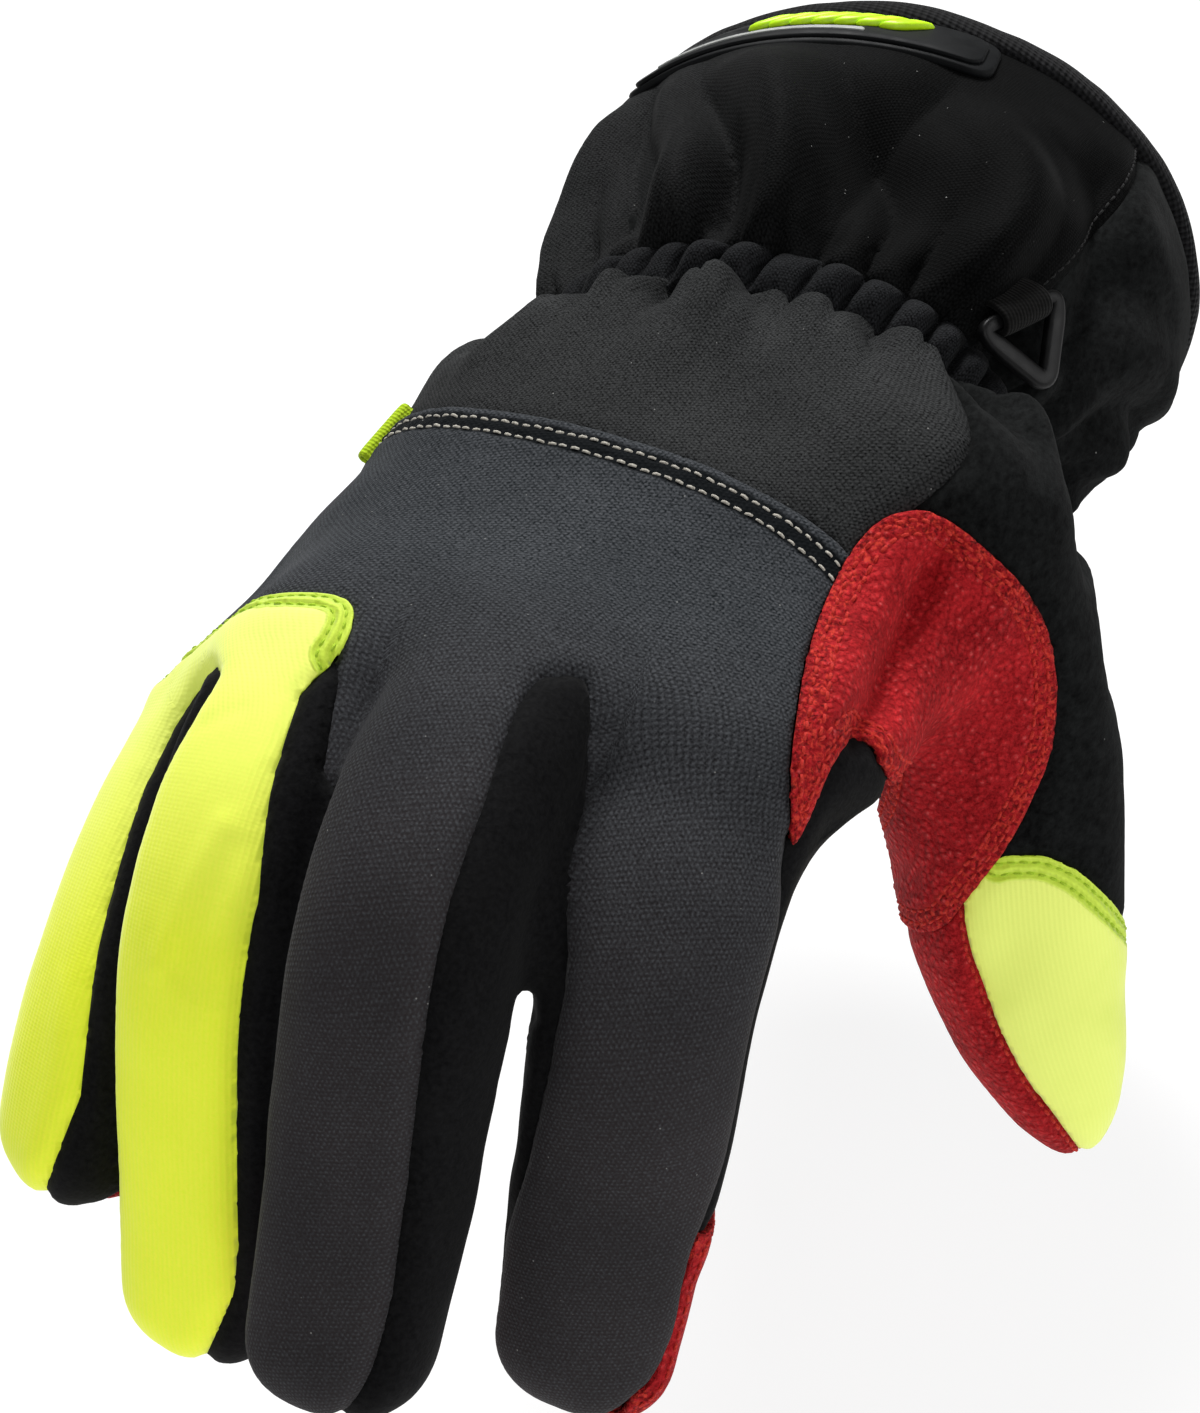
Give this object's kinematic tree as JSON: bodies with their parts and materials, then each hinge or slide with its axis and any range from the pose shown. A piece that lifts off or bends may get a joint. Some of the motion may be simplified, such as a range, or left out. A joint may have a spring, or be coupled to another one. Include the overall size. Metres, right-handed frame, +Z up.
{
  "type": "winter work glove",
  "caption": "Padded winter work glove for the right hand, in its worn form: flared cuff, gathered wrist, bent fingers, suede patches and a clip ring at the wrist.",
  "frame": {"origin": "centre of the cuff's opening, where the hand goes in", "axes": "+Y out of the cuff's opening along the forearm, -Y towards the fingertips, +Z up from the back of the hand, +X towards the thumb"},
  "size_m": [0.1615, 0.2468, 0.1399],
  "materials": {
    "softshell": "matt black woven soft-shell",
    "grey_cloth": "matt dark grey woven soft-shell",
    "hi_vis_cloth": "fluorescent yellow ribbed knit",
    "red_suede": "mottled red suede",
    "side_fleece": "black napped cloth",
    "palm_cloth": "black synthetic leather",
    "hem_knit": "black knitted binding",
    "gather_cloth": "matt black woven soft-shell, puckered",
    "tab_rubber": "soft moulded rubber",
    "lime_rubber": "soft moulded rubber, lime",
    "lime_webbing": "woven lime webbing",
    "black_webbing": "woven black webbing",
    "ring_plastic": "black moulded plastic"
  },
  "bodies": {
    "glove": {"cuff_hem": "hem_knit", "cuff_back": "softshell", "cuff_palm": "side_fleece", "wrist_gathers": "gather_cloth", "hand_back": "softshell", "back_panel": "grey_cloth", "hi_vis_panel": "hi_vis_cloth", "palm_panel": "palm_cloth", "fourchette_index_middle": "palm_cloth", "fourchette_middle_ring": "palm_cloth", "fourchette_ring_little": "palm_cloth", "fingertip_index": "red_suede", "fingertip_middle": "red_suede", "fingertip_ring": "red_suede", "fingertip_little": "red_suede", "saddle_patch": "red_suede", "thumb_fleece_panel": "side_fleece", "thumb_tip_panel": "hi_vis_cloth", "thumb_pad": "red_suede", "pull_tab": "tab_rubber", "tab_ribs": "lime_rubber", "side_tab": "lime_webbing", "ring_loop": "black_webbing"},
    "ring": {"clip_ring": "ring_plastic"}
  },
  "joints": [
    {"name": "ring_swing", "type": "hinge", "parent": "glove", "child": "ring", "pos_m": [0.0357, -0.0695, 0.0355], "axis": [-0.5303, -0.8475, -0.02], "range_deg": [-6, 110]}
  ]
}
